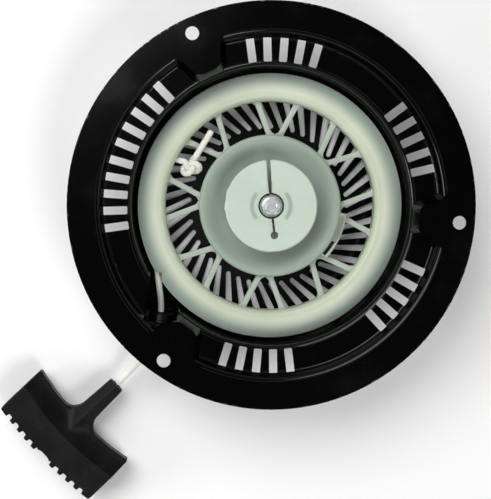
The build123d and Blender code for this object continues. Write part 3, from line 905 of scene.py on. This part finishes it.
# Millimetres, with x along the rope's way from the top of the stem, y across, z up from the
# grip's middle plane.
grip_end_y = 33.9
grip_reach = 54.9
grip_half_thick = 9.9
arm_half_thick = 3.9
saddle_half = 4.6
tooth_pitch = 5.75
tooth_half = 1.42
tooth_height = 2.2
stem_bore_r = 2.15
pocket_r = 6.5
voxel = 0.42


def grip_top_edge(y):
    """x of the stem's side and of the arms' upper edge at a distance y from the middle."""
    y = abs(y)
    return float(np.interp(
        y,
        [4.5, 5.0, 5.3, 6.0, 7.3, 9.4, 11.6, 15.0, 21.6, 31.0, 33.9],
        [0.0, 14.0, 20.4, 22.6, 24.5, 26.1, 26.8, 26.7, 25.9, 24.2, 23.4],
    ))


def grip_low_edge(y):
    """x of the ribbed edge: teeth beside a shallow saddle."""
    y = abs(y)
    reach = grip_reach - 2.0 * (y / 30) ** 2
    if y < saddle_half:
        return reach - 2.4 + 1.3 * (y / saddle_half) ** 4
    inside = abs((y - 7.1 + tooth_pitch / 2) % tooth_pitch - tooth_pitch / 2)
    if y < 28.5 and inside > tooth_half:
        return reach - tooth_height
    return reach


def grip_thickness(x, y):
    """Half thickness: flat lower face, scooped finger rest and a roof-shaped stem."""
    y = np.abs(y)
    crest = 38.5 - 3.6 * (y / 33) ** 2
    top = np.interp(y, [0, 11.6, 21.6, 31.0, 33.9], [27.0, 26.8, 25.9, 24.2, 23.4])
    share = np.clip((x - top) / (crest - top), 0, 1)
    bar = arm_half_thick + (grip_half_thick - arm_half_thick) * share ** 1.5
    bar = np.where(x < top, arm_half_thick - (top - x) * 0.9, bar)
    ridge = 5.4 + 3.0 * np.clip(x / 24, 0, 1) ** 1.5 - np.clip(x - 25, 0, 20) * 0.22
    stem = ridge - 0.72 * y
    soft = 1.1
    both = soft * np.logaddexp(bar / soft, stem / soft)
    return np.minimum(np.maximum(both, 1.9), grip_half_thick)


def grip_outline():
    """Outline of the grip, closed, from the tip of the stem round both sides."""
    side = [(0.0, 0.0), (0.0, 4.0), (0.5, 4.5)]
    stem_ys = (4.6, 4.8, 5.0, 5.3, 5.6, 6.0, 6.6, 7.3, 8.3, 9.4, 10.5, 11.6)
    arm_ys = (13.5, 17, 21.6, 26, 31, 32.6)
    side += [(grip_top_edge(y), y) for y in stem_ys + arm_ys]
    side += [(23.8, 33.3), (24.6, grip_end_y), (50.6, grip_end_y), (52.4, 33.5)]
    side += [(grip_low_edge(y), y) for y in np.arange(32.9, 0.1, -0.2)]
    side.append((grip_low_edge(0), 0.0))
    return side + [(x, -y) for x, y in reversed(side[1:-1])]


def apply_modifiers(piece):
    """The same object with its modifiers made part of its mesh."""
    evaluated = piece.evaluated_get(bpy.context.evaluated_depsgraph_get())
    mesh = bpy.data.meshes.new_from_object(evaluated)
    piece.modifiers.clear()
    old = piece.data
    piece.data = mesh
    bpy.data.meshes.remove(old)


def cut_or_keep(piece, tool, operation):
    """Cuts the tool's solid out of the piece, or keeps what the two share."""
    modifier = piece.modifiers.new("shape", "BOOLEAN")
    modifier.object = tool
    modifier.operation = operation
    modifier.solver = "EXACT"
    apply_modifiers(piece)
    bpy.data.objects.remove(tool)


def slab(step):
    """Closed slab whose two faces follow grip_thickness over the grip's rectangle."""
    xs = np.arange(-1.0, 56.6, step)
    ys = np.arange(-35.0, 35.01, step)
    grid_x, grid_y = np.meshgrid(xs, ys, indexing="ij")
    thick = grip_thickness(grid_x, grid_y)
    rows, columns = thick.shape
    points = [
        (x, y, side * t)
        for side in (1, -1)
        for x, y, t in zip(grid_x.ravel(), grid_y.ravel(), thick.ravel())
    ]
    low = rows * columns
    faces = []
    for i in range(rows - 1):
        for j in range(columns - 1):
            a, b = i * columns + j, (i + 1) * columns + j
            faces.append((a, b, b + 1, a + 1))
            faces.append((low + a, low + a + 1, low + b + 1, low + b))
    edge = list(range(columns))
    edge += [i * columns + columns - 1 for i in range(1, rows)]
    edge += [(rows - 1) * columns + j for j in range(columns - 2, -1, -1)]
    edge += [i * columns for i in range(rows - 2, 0, -1)]
    faces += [
        (edge[k], edge[(k + 1) % len(edge)], low + edge[(k + 1) % len(edge)], low + edge[k])
        for k in range(len(edge))
    ]
    return loose_mesh("slab", points, faces)


def bar_along_x(start, end, radius, count=40):
    angles = [2 * pi * k / count for k in range(count)]
    sections = [
        [Vector((x, radius * cos(a), radius * sin(a))) for a in angles]
        for x in (start, end)
    ]
    return loose_mesh("bore", *loft(sections))


def pull_grip(material):
    """Moulded T-grip: roof-shaped stem, scooped finger rest, ribbed lower edge."""
    outline = grip_outline()
    pocket_x = stem_bore_length / mm
    prism = [[Vector((x, y, z)) for x, y in outline] for z in (-12.0, 12.0)]
    piece = loose_mesh("pull_grip", *loft(prism))
    cut_or_keep(piece, slab(0.5), "INTERSECT")
    cut_or_keep(piece, bar_along_x(-2.0, pocket_x + 1, stem_bore_r), "DIFFERENCE")
    cut_or_keep(piece, bar_along_x(pocket_x, grip_reach + 5.1, pocket_r), "DIFFERENCE")
    remesh = piece.modifiers.new("even", "REMESH")
    remesh.mode = "VOXEL"
    remesh.voxel_size = voxel
    smooth = piece.modifiers.new("soften", "SMOOTH")
    smooth.factor = 0.5
    smooth.iterations = 3
    apply_modifiers(piece)
    turn = Matrix.Rotation(radians(stem_turn), 4, "Z")
    piece.data.transform(Matrix.Translation(stem_top) @ turn @ Matrix.Scale(mm, 4))
    smooth_faces(piece.data)
    coat(piece.data, material)
    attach(piece, "grip")
    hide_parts("handle_grip")


# --- the object ---------------------------------------------------------------------------


def paint_nodes(material, *names):
    """Gives the frame's own pieces a finish."""
    for name in names:
        coat(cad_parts[name].data, material)


def smooth_nodes(angle):
    """Soft shading on curved faces and crisp edges, on every carried-over piece."""
    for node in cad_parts.values():
        smooth_faces(node.data)
        node.data.set_sharp_from_angle(angle=radians(angle))


add_camera()
rope = rope_material()
free_rope(rope)
lead_rope(rope)
wound_rope(rope)
reel_knot(rope)
grip_knot(rope)

smooth_nodes(30)
paint_nodes(gloss_paint(), "housing")
paint_nodes(nylon("guide_nylon", guide_colour, rough=0.42, weight=0.25), "ratchet_guide")
paint_nodes(nylon("pawl_nylon", pale_colour), "pawl_1", "pawl_2")
zinc = metal("zinc_plate", (0.78, 0.82, 0.82), (0.5, 0.52, 0.5), 0.24)
bolt = metal("bolt_plate", (0.92, 0.95, 0.97), (0.75, 0.78, 0.79), 0.26, marks_depth=0.12)
paint_nodes(bolt, "center_bolt")
paint_nodes(zinc, "post_plate", "thrust_washer", "handle_insert")
# Near-black steel for the eyelet, guide ring and friction washer: partly their dark finish, partly
# painted shade in the gap round the bolt and in the eyelet's pocket.
dark_steel_for_shade = metal("dark_steel_and_shade", (0.05, 0.05, 0.05), (0.022, 0.022, 0.022), 0.32)
paint_nodes(dark_steel_for_shade, "rope_guide", "guide_ring", "friction_washer")
steel = metal("turned_steel", (0.5, 0.5, 0.5), (0.26, 0.25, 0.23), 0.34)
paint_nodes(steel, "center_post", "pawl_pin_1", "pawl_pin_2")
spring = metal("spring_steel", (0.32, 0.27, 0.21), (0.12, 0.1, 0.08), 0.38)
paint_nodes(spring, "mainspring", "friction_clip", "pawl_spring_1", "pawl_spring_2")

reel_rim(nylon("rim_nylon", rim_colour))
reel_hub(nylon("hub_nylon", hub_colour))
reel_spokes(nylon("spoke_nylon", spoke_colour))
reel_lug(nylon("lug_nylon", lug_colour))
pull_grip(grip_plastic())

add_stage(floor_material())
for lamp in studio_lights:
    add_area_light(*lamp)
add_backdrop()
